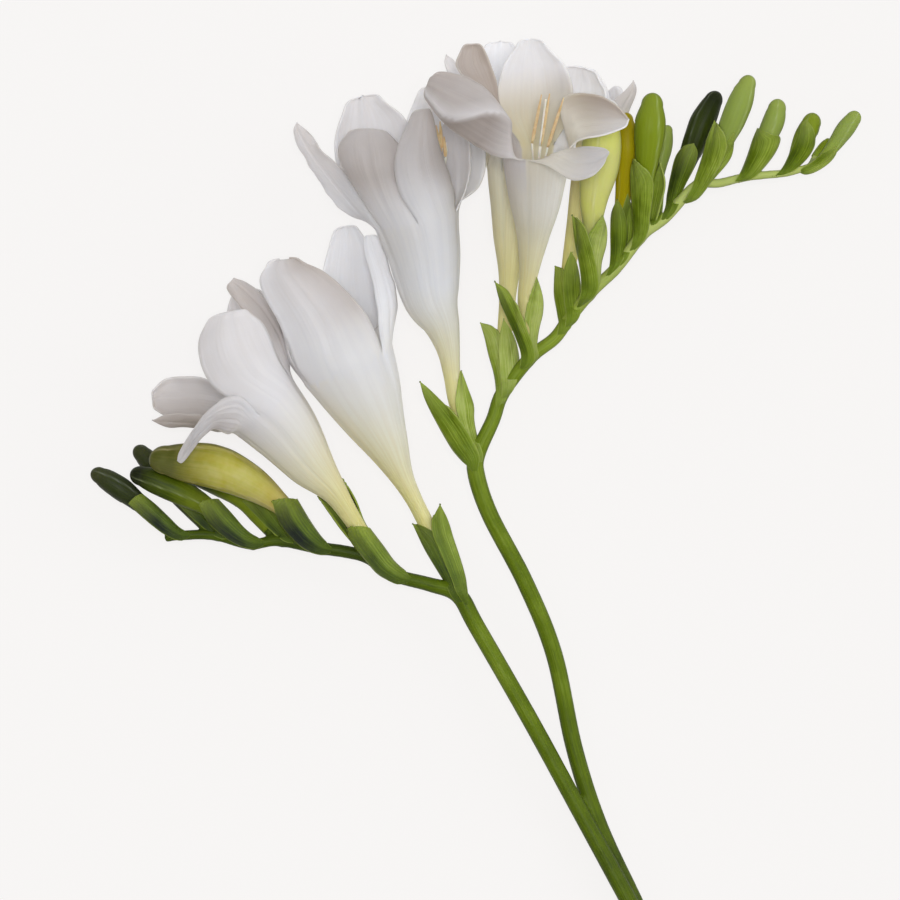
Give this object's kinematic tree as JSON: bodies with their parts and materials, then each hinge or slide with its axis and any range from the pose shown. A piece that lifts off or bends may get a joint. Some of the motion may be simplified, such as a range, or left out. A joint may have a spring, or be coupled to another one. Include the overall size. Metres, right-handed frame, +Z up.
{
  "type": "freesia",
  "caption": "Cut freesia stem with a side branch, white funnel-shaped flowers, green buds in rows and pointed bracts, lying on its side.",
  "frame": {"origin": "middle of the underside of the bounding box, on the surface that the spray lies on", "axes": "+Z up from the surface; +Y from the cut end towards the flowers, the longest extent; +X to the right of the spray seen from above"},
  "size_m": [0.1542, 0.217, 0.0424],
  "materials": {
    "petal_white": "soft satin white petal, faintly veined, cream to yellow at the narrow foot of the tube",
    "stem_green": "waxy smooth green stem, finely ribbed along its length",
    "bract_green": "matt green leafy bract with fine lengthwise veins and a paler edge",
    "bud_green": "satin green bud with pale seams between its folded petals",
    "bud_yellow": "satin yellow-green bud about to open, veined along its length",
    "stamen_gold": "dusty gold anthers on cream filaments"
  },
  "bodies": {
    "root": {"bud_01": "bud_yellow", "bud_01_outer_bract": "bract_green", "bud_02": "bud_green", "bud_02_outer_bract": "bract_green", "bud_03": "bud_green", "bud_03_outer_bract": "bract_green", "bud_04": "bud_green", "bud_04_outer_bract": "bract_green", "bud_05": "bud_green", "bud_05_outer_bract": "bract_green", "bud_06": "bud_yellow", "bud_06_inner_bract": "bract_green", "bud_06_outer_bract": "bract_green", "bud_07": "bud_yellow", "bud_07_inner_bract": "bract_green", "bud_07_outer_bract": "bract_green", "bud_08": "bud_green", "bud_08_inner_bract": "bract_green", "bud_08_outer_bract": "bract_green", "bud_09": "bud_green", "bud_09_outer_bract": "bract_green", "bud_10": "bud_green", "bud_10_outer_bract": "bract_green", "bud_11": "bud_green", "bud_11_inner_bract": "bract_green", "bud_11_outer_bract": "bract_green", "bud_12": "bud_green", "bud_12_outer_bract": "bract_green", "bud_13": "bud_green", "bud_13_outer_bract": "bract_green", "bud_14": "bud_green", "bud_15": "bud_green", "bud_15_outer_bract": "bract_green", "flower_1": "petal_white", "flower_1_inner_bract": "bract_green", "flower_1_outer_bract": "bract_green", "flower_1_stamens": "stamen_gold", "flower_2": "petal_white", "flower_2_inner_bract": "bract_green", "flower_2_outer_bract": "bract_green", "flower_2_stamens": "stamen_gold", "flower_3": "petal_white", "flower_3_inner_bract": "bract_green", "flower_3_outer_bract": "bract_green", "flower_3_stamens": "stamen_gold", "flower_4": "petal_white", "flower_4_inner_bract": "bract_green", "flower_4_outer_bract": "bract_green", "flower_4_stamens": "stamen_gold", "flower_5": "petal_white", "flower_5_inner_bract": "bract_green", "flower_5_outer_bract": "bract_green", "flower_6": "petal_white", "flower_6_inner_bract": "bract_green", "flower_6_outer_bract": "bract_green", "stem": "stem_green"}
  },
  "joints": []
}
